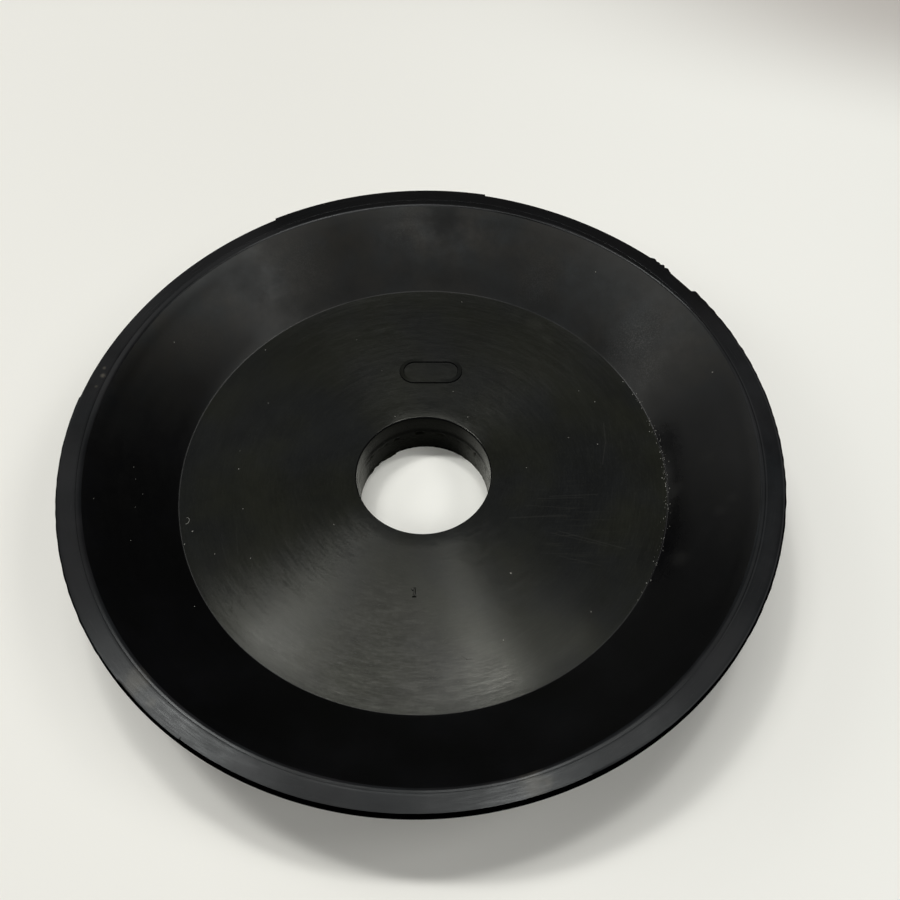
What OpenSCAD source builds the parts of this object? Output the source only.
// Piston cup seal: one moulded rubber cup with a thick bored disc and a lip that flares up and out.
// The axis is Z. The underside lies at z = 0 and the lip points to +Z.

/* [Bore] */
// Diameter of the bore that fits over the piston rod
bore_d = 25.4; // [19:0.1:32]
// Radius that breaks the bore's edge at the dish floor
bore_edge_r = 0.3; // [0.1:0.05:0.6]

/* [Disc] */
// Thickness of the disc between its underside and the dish floor
disc_t = 10.5; // [8:0.5:14]
// Diameter of the flat dish floor
floor_d = 91.4; // [84:0.2:98]
// Radius in the corner between the dish floor and the wall
floor_corner_r = 0.4; // [0.2:0.1:2]
// Diameter of the underside, out to the corner of the heel
heel_d = 101; // [92:0.5:106]
// Radius round the heel
heel_r = 3; // [1:0.5:5]

/* [Lip] */
// Diameter over the sealing edge
lip_d = 127; // [122:0.5:134]
// Depth of the dish, from the rim face down to the dish floor
dish_depth = 12.5; // [9:0.5:16]
// Height of the land between the rim face and the sealing edge
land_h = 1.7; // [1:0.1:3]
// How far the trimmed edge of the rim stands inside the sealing edge
land_lean = 0.5; // [0.3:0.05:1.5]
// Radius that breaks the sealing edge
seal_edge_r = 0.15; // [0.05:0.05:0.4]
// Width of the rim face, from its trimmed edge in to the ledge
rim_w = 2.9; // [1.5:0.1:4]
// Width of the narrow ledge inside the rim face
ledge_w = 0.85; // [0.4:0.05:1.5]
// Drop from the rim face to the ledge
ledge_drop = 0.2; // [0.1:0.05:0.5]
// Radius on the inner edge of the rim face, above the ledge
face_edge_r = 0.15; // [0.05:0.05:0.2]
// Radius over the top of the wall, where it meets the ledge
wall_top_r = 0.5; // [0.1:0.05:0.8]

/* [Trimming] */
// Deepest bite of the knife into the rim's edge, where the flash was trimmed off
knife_depth = 0.6; // [0.3:0.05:0.8]
// Thickness of the flash that is left
flash_t = 0.35; // [0.2:0.05:0.8]
// Reach of that flash past the rim's edge
flash_reach = 0.4; // [0.2:0.05:0.45]
// Reach of the ragged tuft where the flash was torn off
tuft_reach = 0.45; // [0.3:0.05:0.45]

/* [Hidden] */
$fn = 180;

bore_r = bore_d / 2;
floor_r = floor_d / 2;
seal_r = lip_d / 2;
trim_r = seal_r - land_lean;
ledge_r = trim_r - rim_w;
wall_top = ledge_r - ledge_w;
rim_z = disc_t + dish_depth;

// Straight pieces that stand for each rounded corner
corner_steps = 6;
// Angle of one straight piece along the flash
flash_step = 1.5;
// How deep the flash is rooted in the rim
flash_root = 0.8;
// How far a cutting shape runs past the rim face and the land, and past the lip as a share of its radius
cut_over = 0.5;
cut_clear = 1.15;

// Share of the land's height that the knife's bevel takes at its deepest bite
bevel_share = 0.8;

// Knife cuts: direction of the deepest bite, half its width, start and end direction, share of knife_depth
knife_cuts = [
    [66, 23, 43.5, 78.5, 0.95],
    [138, 34, 120, 172, 1],
    [36, 3, 33, 38.6, 0.4]
];
// Flash still on the rim: start and end direction, and its share of flash_reach at each end
flash_runs = [
    [-136, -126, 0.15, 0.9],
    [-126, -123.3, 0.9, 1],
    [-66, -52, 0.15, 1],
    [-52, -48, 1, 0.8]
];
// Torn tuft: direction, half the width at its root and share of tuft_reach of each shred
tuft_shreds = [
    [39.6, 0.5, 0.6],
    [40.7, 0.4, 1],
    [41.7, 0.5, 0.5],
    [42.8, 0.6, 0.85]
];

// Half of the cup's section, corner by corner: radius, height and rounding
section = [
    [bore_r, 0, 0],
    [heel_d / 2, 0, heel_r],
    [seal_r, rim_z - land_h, seal_edge_r],
    [trim_r, rim_z, 0],
    [ledge_r, rim_z, face_edge_r],
    [ledge_r, rim_z - ledge_drop, 0],
    [wall_top, rim_z - ledge_drop, wall_top_r],
    [floor_r, disc_t, floor_corner_r],
    [bore_r, disc_t, bore_edge_r]
];

function lerp(a, b, k) = a + (b - a) * k;
function unit(v) = v / norm(v);
function polar(r, az) = [r * cos(az), r * sin(az)];
function turned(v, a) = [v.x * cos(a) - v.y * sin(a), v.x * sin(a) + v.y * cos(a)];

// Points of the corner p between its neighbours a and b, rounded to radius r
function rounded_corner(a, p, b, r) =
    let (
        to_a = unit(a - p),
        to_b = unit(b - p),
        half = acos(to_a * to_b) / 2,
        centre = p + unit(to_a + to_b) * r / sin(half),
        start = p + to_a * r / tan(half) - centre,
        turn = (180 - 2 * half) * sign(cross(p - a, b - p))
    )
    r == 0 ? [p] : [for (i = [0:corner_steps]) centre + turned(start, turn * i / corner_steps)];

function flat_point(c) = [c[0], c[1]];

// Outline through the corners of a list of [x, y, rounding]
function rounded_outline(corners) =
    let (n = len(corners))
    [for (i = [0:n - 1])
        each rounded_corner(
            flat_point(corners[(i + n - 1) % n]),
            flat_point(corners[i]),
            flat_point(corners[(i + 1) % n]),
            corners[i][2])];

module cup_body() {
    rotate_extrude()
        polygon(rounded_outline(section));
}

// Bevel that the trimming knife left on the rim's edge. The knife ran on an arc that is wider than the rim
// and off its centre, so the bite fades out to both sides. Straight ends show where the knife went in or out.
module knife_cut(bite_az, half_width, from_az, to_az, share) {
    bite = knife_depth * share;
    off_centre = bite / (1 - cos(half_width));
    arc_r = trim_r - bite + off_centre;
    slope = (bite + land_lean) / (land_h * bevel_share);
    reach = seal_r * cut_clear;
    difference() {
        translate([0, 0, rim_z - land_h])
            linear_extrude(land_h + cut_over)
                polygon([
                    [0, 0],
                    polar(reach, from_az),
                    polar(reach, (from_az + to_az) / 2),
                    polar(reach, to_az)
                ]);
        rotate([0, 0, bite_az])
            translate([-off_centre, 0, rim_z - land_h - cut_over])
                cylinder(
                    h = land_h + 2 * cut_over,
                    r1 = arc_r + slope * (land_h + cut_over),
                    r2 = arc_r - slope * cut_over
                );
    }
}

// Thin fin on the rim's edge, level with the rim face
module flash_fin(from_az, to_az, from_reach, to_reach) {
    steps = ceil((to_az - from_az) / flash_step);
    outer = [for (i = [0:steps])
        polar(trim_r + lerp(from_reach, to_reach, i / steps), lerp(from_az, to_az, i / steps))];
    inner = [for (i = [steps:-1:0])
        polar(trim_r - flash_root, lerp(from_az, to_az, i / steps))];
    translate([0, 0, rim_z - flash_t])
        linear_extrude(flash_t)
            polygon(concat(outer, inner));
}

// Pointed shred of torn flash
module shred(az, width, reach) {
    translate([0, 0, rim_z - flash_t])
        linear_extrude(flash_t)
            polygon([
                polar(trim_r - flash_root, az - width),
                polar(trim_r + reach, az - width / 4),
                polar(trim_r + reach, az + width / 4),
                polar(trim_r - flash_root, az + width)
            ]);
}

module cup_seal() {
    color([0.06, 0.06, 0.065])
        union() {
            difference() {
                cup_body();
                for (k = knife_cuts)
                    knife_cut(k[0], k[1], k[2], k[3], k[4]);
            }
            for (run = flash_runs)
                flash_fin(run[0], run[1], run[2] * flash_reach, run[3] * flash_reach);
            for (s = tuft_shreds)
                shred(s[0], s[1], s[2] * tuft_reach);
        }
}

cup_seal();
